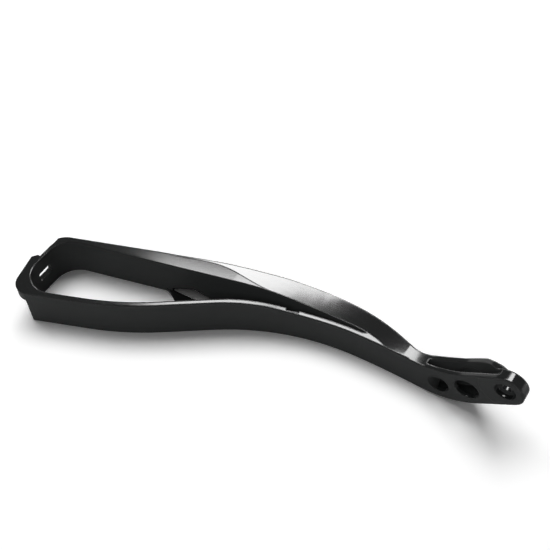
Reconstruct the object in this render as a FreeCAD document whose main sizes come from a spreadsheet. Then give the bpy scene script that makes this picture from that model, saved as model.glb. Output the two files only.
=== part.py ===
import FreeCAD, Part
import math
import os
import Sketcher

# One moulded chain slider lying on its edge. X runs from the loop to the tail bolt, Y across from the near
# strip to the far strip and Z up the strip's width. The body is drawn from the floor under the tail bolt and
# then placed with the middle of its bolt hole on the origin.
os.makedirs("parts", exist_ok=True)
doc = FreeCAD.newDocument("chain_slider")
Vec = FreeCAD.Vector

# Driving sizes in millimetres and degrees
driving = {
    # overall: widths of the strip and the loop, and where the loop ends
    "loop_height": 35.0,
    "strip_width": 28.0,
    "loop_end": 342.4,
    "end_overhang": 2.9,
    "end_wall": 4.5,
    # near strip, walked from the tail to the loop
    "near_wall": 4.0,
    "near_start": 43.0,
    "near_ease_radius": 700.0,
    "near_ease_turn": 5.1,
    "near_sweep_radius": 202.0,
    "near_sweep_turn": 31.1,
    "near_straight": 38.0,
    "near_bow_radius": 237.0,
    "near_bow_turn": 13.5,
    # far strip, outer face
    "tail_depth": 16.3,
    "taper_start": 20.0,
    "shoulder_radius": 117.0,
    "shoulder_turn": 17.6,
    "waist_radius": 25.0,
    "waist_turn": 36.6,
    "waist_straight": 5.2,
    "crown_radius": 151.0,
    "crown_turn": 40.8,
    # far strip, inner face, and the nose where the channel closes
    "channel_radius": 270.0,
    "channel_turn": 16.5,
    "nose_length": 2.8,
    "nose_width": 1.7,
    # corners of the loop
    "corner_cut_near": 15.7,
    "corner_cut_end": 29.3,
    "far_corner": 15.0,
    "near_inner_corner": 17.0,
    "far_inner_corner": 20.0,
    # lip on the near corner of the loop: its height, corner, end and tip
    "lip_height": 9.0,
    "lip_corner": 11.0,
    "lip_heading": 102.0,
    "lip_place": 79.0,
    "lip_tip": 4.0,
    # web between the strips
    "web_thickness": 3.0,
    "web_run": 88.0,
    "web_bow": 11.0,
    # tail: bend, plates and bolt
    "bend_radius": 50.0,
    "bend_turn": 42.0,
    "tail_run": 34.0,
    "tail_top_radius": 60.0,
    "lug_thickness": 8.0,
    "lug_shoulder": 0.5,
    "lug_radius": 13.2,
    "far_step": 2.8,
    "far_step_turn": 41.0,
    "far_slope": 9.0,
    "far_slope_turn": 32.6,
    "far_flat": 3.0,
    "far_flat_turn": 24.0,
    "far_crest_turn": 7.6,
    "pad_radius": 19.0,
    "pad_height": 0.5,
    "pad_inset": 0.4,
    "boss_radius": 11.0,
    "tail_near_wall": 3.2,
    "tail_far_wall": 4.0,
    "tail_floor": 4.0,
    "bolt_radius": 4.25,
    "seat_radius": 7.6,
    "seat_depth": 3.5,
    "first_hole_radius": 8.0,
    "first_hole_turn": 18.0,
    "second_hole_radius": 9.1,
    "second_hole_run": 2.0,
    "hole_recess": 1.2,
    # top of the strips between the loop and the tail
    "slope_start": 205.0,
    "slope_end": 132.0,
    "crown_tilt": 17.0,
    "twist_start": 262.0,
    "twist_length": 75.0,
    "twist_margin": 0.2,
    "twist_reach": 4.0,
    "twist_width": 12.0,
    # end wall details
    "slot_place": 76.5,
    "slot_length": 13.0,
    "slot_height": 9.0,
    "slot_middle": 17.5,
    "slot_round": 2.0,
    "notch_length": 19.5,
    "notch_depth": 3.0,
    "notch_wall": 2.0,
    # cored underside of the far strip
    "core_wall": 3.5,
    "core_depth": 16.0,
    "core_length": 20.0,
    "rib_thickness": 2.6,
    "core_start": 112.0,
    "core_count": 7,
    # small cuts
    "rim_nick_length": 9.0,
    "rim_nick_depth": 2.0,
    "rim_nick_width": 2.0,
    "rim_nick_turn": 14.6,
    "arch_height": 11.0,
    "arch_length": 30.5,
    "arch_peak": 12.6,
    "arch_spring": 2.0,
    "arch_place": 12.0,
    "web_gap_width": 4.5,
    "web_gap_peak": 7.0,
    "rim_bevel": 0.9,
    # how far a cut runs past what it opens: past the whole part, past one wall, past a flush face
    "clear": 20.0,
    "cut_over": 2.0,
    "skin": 0.02,
}
sheet = doc.addObject("Spreadsheet::Sheet", "sizes")
for line, (name, value) in enumerate(driving.items(), start=1):
    sheet.set("A%d" % line, name)
    sheet.set("B%d" % line, str(value))
    sheet.setAlias("B%d" % line, name)
doc.recompute()


def size(name):
    return float(sheet.get(name))


def ahead(heading, length=1.0):
    angle = math.radians(heading)
    return Vec(math.cos(angle) * length, math.sin(angle) * length, 0)


def arc_between(centre, radius, first, last):
    # arc from one direction to the other, in degrees, always drawn anticlockwise
    low, high = min(first, last), max(first, last)
    return Part.ArcOfCircle(Part.Circle(centre, Vec(0, 0, 1), radius), math.radians(low), math.radians(high))


def walk(start, heading, legs, shift=0.0):
    # A path of straight legs (length, 0) and arcs (radius, turn), turning left when the turn is positive.
    # The shift moves the whole path to its right, which keeps a wall equally thick along it.
    edges = []
    point = start + ahead(heading - 90, shift)
    for reach, turn in legs:
        if turn == 0:
            goal = point + ahead(heading, reach)
            edges.append(Part.LineSegment(point, goal))
        else:
            side = 90 if turn > 0 else -90
            radius = reach + shift if turn > 0 else reach - shift
            centre = point + ahead(heading + side, radius)
            edges.append(arc_between(centre, radius, heading - side, heading - side + turn))
            goal = centre + ahead(heading + turn - side, radius)
            heading = heading + turn
        point = goal
    return edges, point, heading


def crossing(point_a, heading_a, point_b, heading_b):
    a, b = ahead(heading_a), ahead(heading_b)
    gap = point_b - point_a
    along = (gap.x * b.y - gap.y * b.x) / (a.x * b.y - a.y * b.x)
    return point_a + a * along


def corner(point_a, heading_a, point_b, heading_b, radius):
    # round corner from one straight to the next: its start, its arc and its end
    turn = (heading_b - heading_a + 180) % 360 - 180
    apex = crossing(point_a, heading_a, point_b, heading_b)
    reach = radius * math.tan(math.radians(abs(turn) / 2))
    side = 90 if turn > 0 else -90
    start = apex - ahead(heading_a, reach)
    goal = apex + ahead(heading_b, reach)
    centre = start + ahead(heading_a + side, radius)
    return start, arc_between(centre, radius, heading_a - side, heading_a - side + turn), goal


def level(x, edges):
    # where a plan path lies in Y, at one place along X
    for edge in edges:
        low, high = sorted((edge.StartPoint, edge.EndPoint), key=lambda point: point.x)
        if x < low.x - size("skin") or x > high.x + size("skin"):
            continue
        if edge.TypeId == "Part::GeomLineSegment":
            return low.y + (high.y - low.y) * (x - low.x) / (high.x - low.x)
        middle = edge.value((edge.FirstParameter + edge.LastParameter) / 2)
        rise = math.sqrt(max(0.0, edge.Radius ** 2 - (x - edge.Center.x) ** 2))
        return edge.Center.y + math.copysign(rise, middle.y - edge.Center.y)
    raise ValueError("no path at %s" % x)


def run_on(edges, point, heading):
    # a walked path, carried on straight past its end
    return edges + [Part.LineSegment(point, point + ahead(heading, size("loop_end")))]


body = doc.addObject("PartDesign::Body", "chain_slider")
body.Label = "chain_slider"


def sketch(name, role, edges, offset=Vec(0, 0, 0)):
    page = body.newObject("Sketcher::SketchObject", name)
    plane = [feature for feature in body.Origin.OriginFeatures if feature.Role == role][0]
    page.AttachmentSupport = [(plane, "")]
    page.MapMode = "FlatFace"
    page.AttachmentOffset = FreeCAD.Placement(offset, FreeCAD.Rotation())
    page.addGeometry(edges, False)
    return page


def chain(points):
    return [Part.LineSegment(first, last) for first, last in zip(points, points[1:])]


def polygon(points):
    return chain(points + points[:1])


def feature(kind, name, page, length=None, back=False):
    # a pad or pocket as long as a sum of the driving sizes, or through everything where no length is given
    item = body.newObject("PartDesign::" + kind, name)
    item.Profile = page
    if length is None:
        item.Type = "ThroughAll"
        item.Midplane = True
    else:
        item.setExpression("Length", length)
        item.Reversed = back
    page.Visibility = False
    doc.recompute()
    return item


# Heights and places worked out from the driving sizes
half_width = size("strip_width") / 2
bend = size("bend_turn")
bolt_height = half_width + size("bend_radius") * (1 - math.cos(math.radians(bend)))
bolt_height += size("tail_run") * math.sin(math.radians(bend))
bend_start = -size("bend_radius") * math.sin(math.radians(bend))
bend_start -= size("tail_run") * math.cos(math.radians(bend))
bolt = Vec(0, bolt_height, 0)
top = bolt_height + size("lug_radius") + size("cut_over")
tail_end = size("lug_radius") + size("cut_over")

# Plan paths
near_legs = [
    (size("near_ease_radius"), size("near_ease_turn")),
    (size("near_sweep_radius"), size("near_sweep_turn")),
    (size("near_straight"), 0),
    (size("near_bow_radius"), -size("near_bow_turn")),
]
far_legs = [
    (size("shoulder_radius"), size("shoulder_turn")),
    (size("waist_radius"), -size("waist_turn")),
    (size("waist_straight"), 0),
    (size("crown_radius"), size("crown_turn")),
]
near_start = Vec(-size("near_start"), 0, 0)
far_start = Vec(-size("taper_start"), size("tail_depth"), 0)
near_edges, near_goal, near_heading = walk(near_start, 180, near_legs)
far_edges, far_goal, far_heading = walk(far_start, 180, far_legs)
lip_end = Vec(-size("loop_end"), -size("lip_place"), 0)
end_point = lip_end + Vec(size("end_overhang"), size("lip_tip"), 0)


def loop_end(near_point, near_dir, end, far_point, far_dir, near_radius, far_radius):
    # the closed end of the loop: near straight, corner, end wall, corner, far straight
    a0, near_arc, a1 = corner(near_point, near_dir, end, 90, near_radius)
    b0, far_arc, b1 = corner(end, 90, far_point, far_dir - 180, far_radius)
    wall = Part.LineSegment(a1, b0)
    return [Part.LineSegment(near_point, a0), near_arc, wall, far_arc, Part.LineSegment(b1, far_point)]


# Block with the plan outline, as tall as the tail
lug_shoulder = Vec(size("lug_shoulder"), size("lug_thickness"), 0)
outline = list(near_edges)
apex = crossing(near_goal, near_heading, end_point, 90)
far_corner_start, far_corner_arc, far_corner_end = corner(
    end_point, 90, far_goal, far_heading - 180, size("far_corner"))
outline += chain([
    near_goal, apex - ahead(near_heading, size("corner_cut_near")),
    apex + ahead(90, size("corner_cut_end")), far_corner_start])
outline += [far_corner_arc, Part.LineSegment(far_corner_end, far_goal)]
outline += far_edges
lug_end = Vec(tail_end, size("lug_thickness"), 0)
outline += chain([far_start, lug_shoulder, lug_end, Vec(tail_end, 0, 0), near_start])
block = body.newObject("PartDesign::Pad", "block")
block.Profile = sketch("plan", "XY_Plane", outline)
block.Length = top
doc.recompute()

# Lip that stands out from the near corner of the loop, under its rim
lip_start, lip_arc, lip_side = corner(
    near_goal, near_heading, lip_end, size("lip_heading"), size("lip_corner"))
lip = [Part.LineSegment(near_goal, lip_start), lip_arc]
lip += chain([lip_side, lip_end, end_point, near_goal])
lip_page = sketch("lip_plan", "XY_Plane", lip)
lip_page.setExpression("AttachmentOffset.Base.z", "sizes.loop_height - sizes.lip_height")
feature("Pad", "lip", lip_page, "sizes.lip_height")

# Loop window and the channel that narrows from it, cut right through
first_leg = walk(near_start, 180, near_legs[:1])
inner_edges, inner_goal, inner_heading = walk(first_leg[1], first_leg[2], near_legs[1:], size("near_wall"))
inner_start = first_leg[1] + ahead(first_leg[2] - 90, size("near_wall"))
nose = inner_start + Vec(size("nose_length"), size("nose_width"), 0)
channel_legs = [(size("channel_radius"), size("channel_turn"))]
channel_edges, channel_goal, channel_heading = walk(nose, 180, channel_legs)
inner_end = end_point + Vec(size("end_wall"), 0, 0)
window = list(inner_edges)
window += loop_end(
    inner_goal, inner_heading, inner_end, channel_goal, channel_heading,
    size("near_inner_corner"), size("far_inner_corner"))
window += channel_edges
window.append(Part.LineSegment(nose, inner_start))
feature("Pocket", "window", sketch("window_plan", "XY_Plane", window))

# Web that closes the channel's floor, with its bowed edge at the window
bite = size("near_wall") / 2
web_near, web_near_goal, web_near_heading = walk(first_leg[1], first_leg[2], near_legs[1:3], bite)
web_far, web_far_goal, web_far_heading = walk(nose, 180, channel_legs + [(size("web_run"), 0)], bite)
middle = (web_near_goal + web_far_goal) * 0.5
chord = web_near_goal - web_far_goal
web_crest = middle + Vec(-chord.y, chord.x, 0).normalize() * size("web_bow")
web = web_near + web_far
web.append(Part.Arc(web_near_goal, web_crest, web_far_goal))
web.append(Part.LineSegment(nose + Vec(0, bite, 0), first_leg[1] + ahead(first_leg[2] - 90, bite)))
feature("Pad", "web", sketch("web_plan", "XY_Plane", web), "sizes.web_thickness")

# Circles along the tail
bend_centre = Vec(bend_start, half_width + size("bend_radius"), 0)
under_radius = size("bend_radius") + half_width


def round_page(name, centre, radius):
    page = sketch(name, "XZ_Plane", [Part.Circle(centre, Vec(0, 0, 1), size(radius))])
    page.addConstraint(Sketcher.Constraint("Radius", 0, size(radius)))
    page.setExpression("Constraints[0]", "sizes." + radius)
    return page


# Top outline seen from the side: level loop, then the slope down to the strip
slope_from = Vec(-size("slope_start"), size("loop_height"), 0)
slope_to = Vec(-size("slope_end"), size("strip_width"), 0)
slope_middle = (slope_from + slope_to) * 0.5
slope_angle = math.atan2(slope_from.y - slope_to.y, slope_to.x - slope_from.x)
slope_radius = (slope_middle - slope_from).Length / (2 * math.sin(slope_angle))
slope_top = slope_from - Vec(0, slope_radius, 0)
slope_foot = slope_to + Vec(0, slope_radius, 0)
slope_degrees = 2 * math.degrees(slope_angle)
left = -size("loop_end") - size("clear")
right = tail_end + size("clear")
sky = top + size("clear")
tail_top = bolt + ahead(bend + 90, half_width)
over_corner = crossing(tail_top, bend, Vec(0, size("strip_width"), 0), 0)
over_reach = size("tail_top_radius") * math.tan(math.radians(bend / 2))
rim_end = over_corner - Vec(over_reach, 0, 0)
top_side = [
    arc_between(slope_top, slope_radius, 90, 90 - slope_degrees),
    arc_between(slope_foot, slope_radius, 270 - slope_degrees, 270),
]
top_side += chain([
    slope_to, rim_end, Vec(rim_end.x, sky, 0), Vec(left, sky, 0),
    Vec(left, size("loop_height"), 0), slope_from])
top_cut = feature("Pocket", "top_cut", sketch("top_outline", "XZ_Plane", top_side))


def rim_level(x):
    if x <= slope_from.x:
        return size("loop_height")
    if x >= slope_to.x:
        return size("strip_width")
    if x < slope_middle.x:
        return slope_top.y + math.sqrt(slope_radius ** 2 - (x - slope_top.x) ** 2)
    return slope_foot.y - math.sqrt(slope_radius ** 2 - (x - slope_foot.x) ** 2)


# Bevelled outer edge of the rim, along the near strip and round the lip
near_line = run_on(near_edges, near_goal, near_heading)


def on_near_rim(edge):
    for place in edge.discretize(5):
        if place.x > rim_end.x + size("skin") or place.x < near_goal.x - size("skin"):
            return False
        if abs(place.z - rim_level(place.x)) > size("skin"):
            return False
        if abs(place.y - level(place.x, near_line)) > size("skin"):
            return False
    return True


rim_names = []
for number, edge in enumerate(top_cut.Shape.Edges, start=1):
    if on_near_rim(edge):
        rim_names.append("Edge%d" % number)
rim = body.newObject("PartDesign::Chamfer", "rim_bevel")
rim.Base = (top_cut, rim_names)
rim.setExpression("Size", "sizes.rim_bevel")
doc.recompute()

# Tail: the upward bend, the straight run and the round end
over_centre = rim_end + Vec(0, size("tail_top_radius"), 0)
over_end = over_corner + ahead(bend, over_reach)
over_tip = bolt + ahead(bend + 90, size("lug_radius"))
under_end = bend_centre + ahead(bend - 90, under_radius)
under_tip = bolt + ahead(bend - 90, size("lug_radius"))
tail_side = [
    arc_between(over_centre, size("tail_top_radius"), -90, bend - 90),
    Part.LineSegment(over_end, over_tip),
    arc_between(bolt, size("lug_radius"), bend - 90, bend + 90),
    Part.LineSegment(under_end, under_tip),
    arc_between(bend_centre, under_radius, -90, bend - 90),
]
tail_side += chain([
    Vec(bend_start, 0, 0), Vec(bend_start, -size("clear"), 0), Vec(right, -size("clear"), 0),
    Vec(right, sky, 0), Vec(rim_end.x, sky, 0), rim_end])
feature("Pocket", "tail_cut", sketch("tail_outline", "XZ_Plane", tail_side))

# Raised pad on the tail's near face, set in from its rounded edge
pad_half = size("lug_radius") - size("rim_bevel") - size("pad_inset")
pad_angle = math.degrees(math.asin(pad_half / size("pad_radius")))
pad_reach = math.sqrt(size("pad_radius") ** 2 - pad_half ** 2)
pad_sides = [bolt + ahead(bend + turn, pad_half) for turn in (90, -90)]
pad_edges = [
    arc_between(bolt, pad_half, bend - 90, bend + 90),
    arc_between(bolt, size("pad_radius"), bend + 180 - pad_angle, bend + 180 + pad_angle)]
pad_edges += [Part.LineSegment(point, point - ahead(bend, pad_reach)) for point in pad_sides]
feature("Pad", "bolt_pad", sketch("pad_side", "XZ_Plane", pad_edges), "sizes.pad_height")


def cutting_loft(name, pages):
    loft = body.newObject("PartDesign::SubtractiveLoft", name)
    loft.Profile = pages[0]
    loft.Sections = pages[1:]
    loft.Ruled = False
    for page in pages:
        page.Visibility = False
    doc.recompute()
    return loft


# Hollow between the tail's two plates, open at the top, with a floor that follows the bend
tail_far_line = [Part.LineSegment(far_start, lug_shoulder)] + far_edges
floor_radius = under_radius - size("tail_floor")
floor_turn = bend_centre + ahead(bend - 90, floor_radius)


def floor_level(x):
    if x < floor_turn.x:
        return bend_centre.y - math.sqrt(floor_radius ** 2 - (x - bend_centre.x) ** 2)
    return floor_turn.y + (x - floor_turn.x) * math.tan(math.radians(bend))


hollow_from = min(far_edges[0].StartPoint.x, far_edges[0].EndPoint.x)
hollow_to = -size("seat_radius")
hollow_steps = 8
hollow_pages = []
for number in range(hollow_steps):
    x = hollow_from + (hollow_to - hollow_from) * number / (hollow_steps - 1)
    near_side = size("tail_near_wall")
    far_side = level(x, tail_far_line) - size("tail_far_wall")
    corners = [
        Vec(near_side, floor_level(x), 0),
        Vec(far_side, floor_level(x), 0),
        Vec(far_side, sky, 0),
        Vec(near_side, sky, 0),
    ]
    hollow_pages.append(sketch("hollow_%d" % number, "YZ_Plane", polygon(corners), Vec(0, 0, x)))
cutting_loft("tail_hollow", hollow_pages)
feature("Pad", "bolt_boss", round_page("boss_side", bolt, "boss_radius"), "sizes.lug_thickness", True)

# Facets along the top of the far plate, from the taper's start to the lug
far_legs_up = [
    (size("far_step"), size("far_step_turn")),
    (size("far_slope"), size("far_slope_turn")),
    (size("far_flat"), size("far_flat_turn")),
    (size("lug_radius"), size("far_crest_turn")),
]
facet = crossing(tail_top, bend, Vec(-size("taper_start"), 0, 0), 90)
facets = [facet]
for reach, turn in far_legs_up:
    facet = facet + ahead(turn, reach)
    facets.append(facet)
facets += [Vec(facet.x, sky, 0), Vec(facets[0].x, sky, 0)]
facet_page = sketch("far_facets", "XZ_Plane", polygon(facets))
facet_page.setExpression("AttachmentOffset.Base.z", "-sizes.lug_thickness")
feature("Pocket", "far_facet_cut", facet_page, "sizes.tail_depth")

# Twisted top of the far strip: a slope that starts at the outer edge, works inward over the twist's length
# and then leans the whole top towards the far side, until it is level again at the waist.
far_line = run_on(far_edges, far_goal, far_heading)
inner_line = run_on(channel_edges, channel_goal, channel_heading)


def twist_page(number, x, share, lean):
    # share: how far the slope has worked inward, from 0 at the outer edge to 1 at the inner edge
    outer = level(x, far_line)
    inner = level(x, inner_line) if x < nose.x else level(x, near_line) + size("near_wall")
    crease = outer + size("twist_margin") + (inner - outer) * share
    fall = math.tan(math.radians(lean))
    rim = rim_level(x) + size("skin")
    inside = crease - size("twist_reach")
    outside = outer + size("twist_width")
    corners = [
        Vec(inside, rim + (crease - inside) * fall, 0),
        Vec(outside, rim - (outside - crease) * fall, 0),
        Vec(outside, rim + size("twist_width"), 0),
        Vec(inside, rim + size("twist_width"), 0),
    ]
    return sketch("twist_%d" % number, "YZ_Plane", polygon(corners), Vec(0, 0, x))


# The lean grows to the full tilt a third of the way along and dies out at the waist. The slope first keeps to
# the outer side and then sweeps across to the inner edge.
twist_from = -size("twist_start")
twist_to = rim_end.x - size("twist_reach")
twist_steps = 9
lean_offset = 0.25
lean_power = 0.8
crease_ease = 0.5
crease_power = 6
twist_pages = []
for number in range(twist_steps):
    part_way = number / (twist_steps - 1)
    x = twist_from + (twist_to - twist_from) * part_way
    run = min(1.0, (x - twist_from) / size("twist_length"))
    share = crease_ease * run + (1 - crease_ease) * run ** crease_power
    swing = math.sin(math.pi * (lean_offset + (1 - lean_offset) * part_way))
    lean = size("crown_tilt") * max(0.0, swing) ** lean_power
    twist_pages.append(twist_page(number, x, share, lean))
cutting_loft("top_twist", twist_pages)

# Two larger holes along the bend, through the near plate and a little into the far one, and the bolt hole
first_hole = bend_centre + ahead(size("first_hole_turn") - 90, size("bend_radius"))
second_hole = bend_centre + ahead(bend - 90, size("bend_radius")) + ahead(bend, size("second_hole_run"))
for name, centre in (("first_hole", first_hole), ("second_hole", second_hole)):
    page = round_page(name + "_side", centre, name + "_radius")
    thin_end = centre.x - size(name + "_radius")
    far_side = level(thin_end, tail_far_line)
    feature("Pocket", name, page, "%.2f - sizes.tail_far_wall + sizes.hole_recess" % far_side)
feature("Pocket", "bolt_hole", round_page("bolt_hole_side", bolt, "bolt_radius"))
seat_page = round_page("seat_side", bolt, "seat_radius")
seat_page.setExpression("AttachmentOffset.Base.z", "sizes.pad_height")
feature("Pocket", "bolt_seat", seat_page, "sizes.seat_depth + sizes.pad_height")

# Flat face for the bolt on the far side, where the tail tapers
far_seat_page = round_page("far_seat_side", bolt, "seat_radius")
far_seat_page.setExpression("AttachmentOffset.Base.z", "-sizes.lug_thickness")
feature("Pocket", "far_seat", far_seat_page, "sizes.tail_depth")


def rounded_box(left, right, low, high, radius):
    middles = [
        (Vec(right - radius, high - radius, 0), 0), (Vec(left + radius, high - radius, 0), 90),
        (Vec(left + radius, low + radius, 0), 180), (Vec(right - radius, low + radius, 0), 270)]
    arcs = [arc_between(centre, radius, turn, turn + 90) for centre, turn in middles]
    lines = []
    for (centre, turn), (after, _) in zip(middles, middles[1:] + middles[:1]):
        lines.append(Part.LineSegment(centre + ahead(turn + 90, radius), after + ahead(turn + 90, radius)))
    return arcs + lines


# Slot through the end wall, and the notch in the rim above it
slot_edges = rounded_box(
    -size("slot_place") - size("slot_length") / 2, -size("slot_place") + size("slot_length") / 2,
    size("slot_middle") - size("slot_height") / 2, size("slot_middle") + size("slot_height") / 2,
    size("slot_round"))
slot_page = sketch("slot_end", "YZ_Plane", slot_edges)
slot_page.setExpression("AttachmentOffset.Base.z", "-sizes.loop_end - sizes.cut_over")
feature("Pocket", "slot", slot_page, "sizes.end_overhang + sizes.end_wall + 2 * sizes.cut_over", True)
notch_inside = inner_end.x - size("notch_wall")
notch_far = end_point.y + size("notch_length")
notch_edges = polygon([
    Vec(lip_end.x, end_point.y, 0), Vec(notch_inside, end_point.y, 0),
    Vec(notch_inside, notch_far, 0), Vec(lip_end.x, notch_far, 0)])
notch_page = sketch("notch_plan", "XY_Plane", notch_edges)
notch_page.setExpression("AttachmentOffset.Base.z", "sizes.loop_height")
feature("Pocket", "rim_notch", notch_page, "sizes.notch_depth")

# Small nick in the inner edge of the near rim
nick_legs = [(size("near_sweep_radius"), size("rim_nick_turn"))]
_, nick_middle, nick_heading = walk(first_leg[1], first_leg[2], nick_legs, size("near_wall"))
nick_along = ahead(nick_heading, size("rim_nick_length") / 2)
nick_across = ahead(nick_heading + 90, size("rim_nick_width"))
nick_inside = ahead(nick_heading - 90, size("cut_over"))
nick_edges = polygon([
    nick_middle + nick_along + nick_inside, nick_middle - nick_along + nick_inside,
    nick_middle - nick_along + nick_across, nick_middle + nick_along + nick_across])
nick_level = rim_level(nick_middle.x) + size("cut_over")
nick_page = sketch("nick_plan", "XY_Plane", nick_edges, Vec(0, 0, nick_level))
feature("Pocket", "rim_nick", nick_page, "sizes.rim_nick_depth + sizes.cut_over")

# Cored underside of the far strip: cells between ribs, opening into the channel at the arch
cells = []
x = -size("core_start")
for number in range(int(size("core_count"))):
    corners = []
    for place in (x, x - size("core_length")):
        low = level(place, inner_line) + size("core_wall")
        high = level(place, far_line) - size("core_wall")
        corners.append((Vec(place, low, 0), Vec(place, high, 0)))
    cells += polygon([corners[0][0], corners[0][1], corners[1][1], corners[1][0]])
    x -= size("core_length") + size("rib_thickness")
core_page = sketch("core_plan", "XY_Plane", cells)
feature("Pocket", "core_cells", core_page, "sizes.core_depth", True)

# Arch in the channel's far wall, through which the channel opens into a cell
arch_foot = web_far_goal + ahead(channel_heading + 90, bite + size("cut_over"))
arch_foot -= ahead(channel_heading, size("arch_place") + size("arch_length"))
arch_edges = polygon([
    Vec(0, size("web_thickness"), 0),
    Vec(size("arch_peak"), size("arch_height"), 0),
    Vec(size("arch_length"), size("web_thickness") + size("arch_spring"), 0),
    Vec(size("arch_length"), size("web_thickness"), 0)])
arch_page = sketch("arch_side", "XZ_Plane", arch_edges)
arch_page.AttachmentOffset = FreeCAD.Placement(
    Vec(arch_foot.x, 0, -arch_foot.y), FreeCAD.Rotation(Vec(0, 1, 0), channel_heading))
feature("Pocket", "core_arch", arch_page, "sizes.core_wall + 2 * sizes.cut_over", True)

# Wedge-shaped gap in the web at the foot of the arch
gap_foot = arch_foot - ahead(channel_heading + 90, size("cut_over"))
gap_end = gap_foot + ahead(channel_heading, size("arch_length"))
gap_into = ahead(channel_heading - 90, size("core_wall") + size("cut_over"))
gap_tip = gap_foot + ahead(channel_heading, size("web_gap_peak"))
gap_tip += ahead(channel_heading + 90, size("web_gap_width"))
gap_edges = polygon([gap_foot + gap_into, gap_end + gap_into, gap_end, gap_tip, gap_foot])
gap_page = sketch("gap_plan", "XY_Plane", gap_edges)
feature("Pocket", "web_gap", gap_page, "sizes.web_thickness + sizes.skin", True)

# Origin in the middle of the bolt hole, then checks before writing
body.setExpression("Placement.Base.y", "-(sizes.seat_depth + sizes.lug_thickness) / 2")
rise = "sizes.bend_radius * (1 - cos(sizes.bend_turn)) + sizes.tail_run * sin(sizes.bend_turn)"
body.setExpression("Placement.Base.z", "-(sizes.strip_width / 2 + " + rise + ")")
doc.recompute()
for item in doc.Objects:
    if "Invalid" in item.State or "Error" in item.State:
        raise RuntimeError("%s is not valid: %s" % (item.Name, item.State))
shape = body.Shape
if shape.isNull() or not shape.isValid() or len(shape.Solids) != 1:
    raise RuntimeError("the slider is not one valid solid")
print("volume %.1f cm3" % (shape.Volume / 1000), shape.BoundBox)
shape.exportStep("parts/chain_slider.step")
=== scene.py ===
import math
import bpy
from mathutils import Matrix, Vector


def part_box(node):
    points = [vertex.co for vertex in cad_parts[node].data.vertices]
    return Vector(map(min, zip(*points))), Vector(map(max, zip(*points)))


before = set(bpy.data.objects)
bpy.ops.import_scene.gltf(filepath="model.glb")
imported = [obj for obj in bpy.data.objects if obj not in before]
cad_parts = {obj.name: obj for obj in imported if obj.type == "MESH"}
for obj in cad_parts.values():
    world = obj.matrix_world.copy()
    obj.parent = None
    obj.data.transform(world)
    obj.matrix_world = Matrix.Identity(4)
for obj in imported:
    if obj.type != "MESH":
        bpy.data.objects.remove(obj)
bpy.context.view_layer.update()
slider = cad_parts["chain_slider"]
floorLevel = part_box("chain_slider")[0].z  # the slider lies on its edge, so its lowest point is the floor
millimetre = 0.001
white = (1.0, 1.0, 1.0, 1.0)
print("frame loaded:", sorted(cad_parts))


def linear(hexColour):
    # sRGB hex to linear RGBA
    parts = [int(hexColour[i:i + 2], 16) / 255 for i in (1, 3, 5)]
    return [c / 12.92 if c <= 0.04045 else ((c + 0.055) / 1.055) ** 2.4 for c in parts] + [1.0]


def addNode(tree, kind, inputs=None, **settings):
    # one node: its settings, then its inputs, each a plain value or the socket that feeds it
    node = tree.nodes.new(kind)
    for name, value in settings.items():
        setattr(node, name, value)
    for name, value in (inputs or {}).items():
        if isinstance(value, bpy.types.NodeSocket):
            tree.links.new(value, node.inputs[name])
        else:
            node.inputs[name].default_value = value
    return node


def newMaterial(name):
    material = bpy.data.materials.new(name)
    material.use_nodes = True
    material.node_tree.nodes.clear()
    return material, material.node_tree


# Moulded black nylon: near-black, with satin, finely grained walls. Upward faces are smoother and catch
# the light, faint flow lines run along the length where the melt ran down the mould, and every edge is a
# little rounded. The real grain, about 0.1 mm, is too fine to show, so it is drawn at 0.5 mm.
mouldedNylon = {
    # painted light: the walls' colour is lighter than the rims' near-black to stand in for front light
    # falling on the walls
    "wallPaintedLightColour": "#252626",
    "wallRoughness": 0.5,
    "wallSheen": 0.05,
    "rimColour": "#0d0e0e",
    "rimRoughness": 0.08,
    "rimSheen": 0.5,
    "wallFacing": 0.5,  # upward part of the normal up to which a face counts as wall
    "rimFacing": 0.8,  # and from which it counts as rim
    "ior": 1.53,
    "flowLinesMm": (60.0, 1.6, 1.6),
    "flowDetail": 3.0,
    "flowRoughness": 0.05,
    "grainMm": 0.5,
    "grainDetail": 2.0,
    "grainDepthMm": 0.05,
    "grainBump": 0.06,
    "edgeMm": 1.4,
    "edgeSamples": 8,
}


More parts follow.
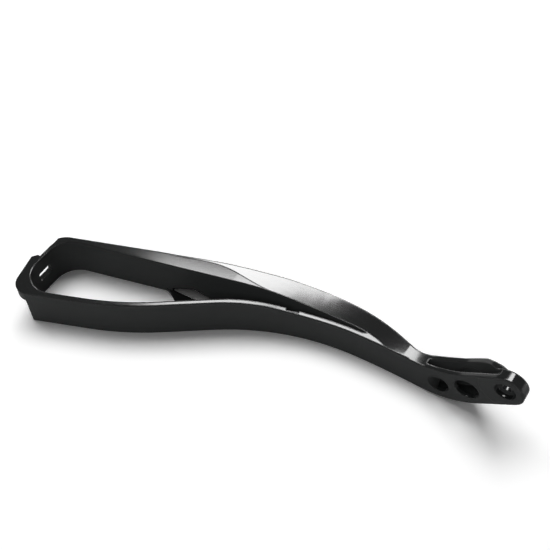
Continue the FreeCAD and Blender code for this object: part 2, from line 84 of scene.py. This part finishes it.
def mouldedBlackNylon():
    settings = mouldedNylon
    material, tree = newMaterial("mouldedBlackNylon")
    place = addNode(tree, "ShaderNodeTexCoord").outputs["Object"]
    normal = addNode(tree, "ShaderNodeNewGeometry").outputs["Normal"]
    facing = addNode(tree, "ShaderNodeSeparateXYZ", {0: normal})
    upward = addNode(
        tree, "ShaderNodeMapRange",
        {"Value": facing.outputs["Z"],
         "From Min": settings["wallFacing"], "From Max": settings["rimFacing"]}).outputs["Result"]
    # painted light: faces that stand up as walls take the lighter wall colour, upward faces the near-black
    # rim colour
    colour = addNode(
        tree, "ShaderNodeMix",
        {0: upward, 6: linear(settings["wallPaintedLightColour"]), 7: linear(settings["rimColour"])}, data_type="RGBA")
    # roughness and sheen go from the wall's value to the rim's as a face turns upward
    finish = {
        name: addNode(
            tree, "ShaderNodeMapRange",
            {"Value": upward,
             "To Min": settings["wall" + name], "To Max": settings["rim" + name]}).outputs["Result"]
        for name in ("Roughness", "Sheen")}
    lines = addNode(
        tree, "ShaderNodeMapping",
        {"Vector": place, "Scale": [1 / (size * millimetre) for size in settings["flowLinesMm"]]})
    flow = addNode(
        tree, "ShaderNodeTexNoise",
        {"Vector": lines.outputs[0], "Scale": 1.0, "Detail": settings["flowDetail"]})
    roughness = addNode(
        tree, "ShaderNodeMath",
        {0: flow.outputs["Fac"], 1: settings["flowRoughness"], 2: finish["Roughness"]},
        operation="MULTIPLY_ADD")
    edge = addNode(
        tree, "ShaderNodeBevel",
        {"Radius": settings["edgeMm"] * millimetre}, samples=settings["edgeSamples"])
    grain = addNode(
        tree, "ShaderNodeTexNoise",
        {"Vector": place, "Scale": 1 / (settings["grainMm"] * millimetre),
         "Detail": settings["grainDetail"]})
    bump = addNode(
        tree, "ShaderNodeBump",
        {"Strength": settings["grainBump"], "Distance": settings["grainDepthMm"] * millimetre,
         "Height": grain.outputs["Fac"], "Normal": edge.outputs["Normal"]})
    shader = addNode(
        tree, "ShaderNodeBsdfPrincipled",
        {"Base Color": colour.outputs[2], "IOR": settings["ior"], "Roughness": roughness.outputs[0],
         "Specular IOR Level": finish["Sheen"], "Normal": bump.outputs["Normal"]})
    addNode(tree, "ShaderNodeOutputMaterial", {"Surface": shader.outputs["BSDF"]})
    return material


slider.data.materials.clear()
slider.data.materials.append(mouldedBlackNylon())
print("plastic applied")


# Pale table, in metres: matt, shown a little over white as on a lit product table, so only the shadow is
# left on it. Further out it is plain white, up to a low backdrop on all sides.
paleTable = {
    "halfWidth": 5.0,
    "backRise": 0.75,
    "colour": "#d8d8d8",
    "shownGain": 1.16,
    "fadeFrom": 0.7,
    "fadeTo": 1.3,
}


def mattWhiteTable():
    settings = paleTable
    material, tree = newMaterial("mattWhiteTable")
    place = addNode(tree, "ShaderNodeTexCoord").outputs["Object"]
    distance = addNode(tree, "ShaderNodeVectorMath", {0: place}, operation="LENGTH")
    faded = addNode(
        tree, "ShaderNodeMapRange",
        {"Value": distance.outputs["Value"],
         "From Min": settings["fadeFrom"], "From Max": settings["fadeTo"]})
    near = addNode(tree, "ShaderNodeBsdfDiffuse", {"Color": [settings["shownGain"]] * 3 + [1.0]})
    far = addNode(tree, "ShaderNodeEmission", {"Color": white, "Strength": 1.0})
    shown = addNode(
        tree, "ShaderNodeMixShader", {0: faded.outputs[0], 1: near.outputs[0], 2: far.outputs[0]})
    # the camera and reflections see it as shown, and the light it throws back has the table's own colour
    other = addNode(tree, "ShaderNodeBsdfDiffuse", {"Color": linear(settings["colour"])})
    path = addNode(tree, "ShaderNodeLightPath")
    mirrored = addNode(
        tree, "ShaderNodeMath",
        {0: path.outputs["Is Glossy Ray"], 1: path.outputs["Is Transmission Ray"]}, operation="MAXIMUM")
    direct = addNode(
        tree, "ShaderNodeMath",
        {0: path.outputs["Is Camera Ray"], 1: mirrored.outputs[0]}, operation="MAXIMUM")
    mixed = addNode(
        tree, "ShaderNodeMixShader", {0: direct.outputs[0], 1: other.outputs[0], 2: shown.outputs[0]})
    addNode(tree, "ShaderNodeOutputMaterial", {"Surface": mixed.outputs[0]})
    return material


def layFloor():
    # a square at the table's level, and a side standing on each of its edges
    half, rise = paleTable["halfWidth"], paleTable["backRise"]
    corners = [(-half, -half), (half, -half), (half, half), (-half, half)]
    count = len(corners)
    points = [(x, y, floorLevel + up) for up in (0.0, rise) for x, y in corners]
    backs = [(i, (i + 1) % count, (i + 1) % count + count, i + count) for i in range(count)]
    mesh = bpy.data.meshes.new("floor")
    mesh.from_pydata(points, [], [tuple(range(count))] + backs)
    mesh.materials.append(mattWhiteTable())
    floor = bpy.data.objects.new("floor", mesh)
    bpy.context.scene.collection.objects.link(floor)


layFloor()
print("floor laid")


# Camera at the photograph's angle: focal length in pixels of a square frame, places in metres
photoView = {
    "eye": Vector((0.0259, -0.3206, 0.5203)),
    "aim": Vector((-0.1955, 0.02045, -0.0496)),
    "focalPx": 900,
    "framePx": 550,
    "sensorMm": 36.0,
    "clipFar": 50.0,
}


def pointAt(item, eye, aim):
    item.location = eye
    item.rotation_euler = (aim - eye).to_track_quat("-Z", "Y").to_euler()


def setCamera():
    settings = photoView
    data = bpy.data.cameras.new("photoCamera")
    data.sensor_width = settings["sensorMm"]
    data.lens = settings["sensorMm"] * settings["focalPx"] / settings["framePx"]
    data.clip_end = settings["clipFar"]
    camera = bpy.data.objects.new("photoCamera", data)
    bpy.context.scene.collection.objects.link(camera)
    pointAt(camera, settings["eye"], settings["aim"])
    bpy.context.scene.camera = camera


setCamera()
print("camera set")


# Studio light round the slider, as the camera faces it: bearing is clockwise from straight behind, wide
# and tall are sizes as seen from the slider, all in degrees, and a glow of 1 is white. The key gives form
# and shadow, the fill lifts the walls that face the camera and leaves the table alone, and the panels only
# show as reflections.
studio = {
    "middle": Vector((-0.17, -0.03, floorLevel)),
    "lampDistance": 5.0,
    "roomLight": 0.2,
}
softBoxes = {
    "key": {
        "bearing": -15, "elevation": 68, "wide": 42, "tall": 28, "glow": 7.2,
        "lights": True, "mirrors": False, "sliderOnly": False},
    "fill": {
        "bearing": 205, "elevation": 55, "wide": 40, "tall": 30, "glow": 8.3,
        "lights": True, "mirrors": False, "sliderOnly": True},
    "rimPanel": {
        "bearing": 14, "elevation": 59.9, "wide": 33, "tall": 8.4, "glow": 15.0,
        "lights": False, "mirrors": True, "sliderOnly": False},
    "lowPanel": {
        "bearing": 13, "elevation": 25.2, "wide": 27, "tall": 9.6, "glow": 15.5,
        "lights": False, "mirrors": True, "sliderOnly": False},
}


def hangSoftBox(name, settings, facing):
    middle, distance = studio["middle"], studio["lampDistance"]
    data = bpy.data.lights.new(name, "AREA")
    data.shape = "RECTANGLE"
    data.size = 2 * distance * math.tan(math.radians(settings["wide"] / 2))
    data.size_y = 2 * distance * math.tan(math.radians(settings["tall"] / 2))
    data.energy = settings["glow"] * math.pi * data.size * data.size_y
    lamp = bpy.data.objects.new(name, data)
    bpy.context.scene.collection.objects.link(lamp)
    turn = facing - math.radians(settings["bearing"])
    rise = math.radians(settings["elevation"])
    away = Vector((math.cos(rise) * math.cos(turn), math.cos(rise) * math.sin(turn), math.sin(rise)))
    pointAt(lamp, middle + away * distance, middle)
    lamp.visible_diffuse = settings["lights"]
    lamp.visible_glossy = settings["mirrors"]
    if settings["sliderOnly"]:
        lit = bpy.data.collections.new(name + "Receivers")
        lit.objects.link(slider)
        lamp.light_linking.receiver_collection = lit


def lightStudio():
    across = photoView["aim"] - photoView["eye"]
    for name, settings in softBoxes.items():
        hangSoftBox(name, settings, math.atan2(across.y, across.x))
    world = bpy.data.worlds.new("dimRoom")
    world.use_nodes = True
    tree = world.node_tree
    tree.nodes.clear()
    room = addNode(tree, "ShaderNodeBackground", {"Color": white, "Strength": studio["roomLight"]})
    addNode(tree, "ShaderNodeOutputWorld", {"Surface": room.outputs[0]})
    bpy.context.scene.world = world
    bpy.context.scene.view_settings.view_transform = "Standard"


lightStudio()
print("lights on")
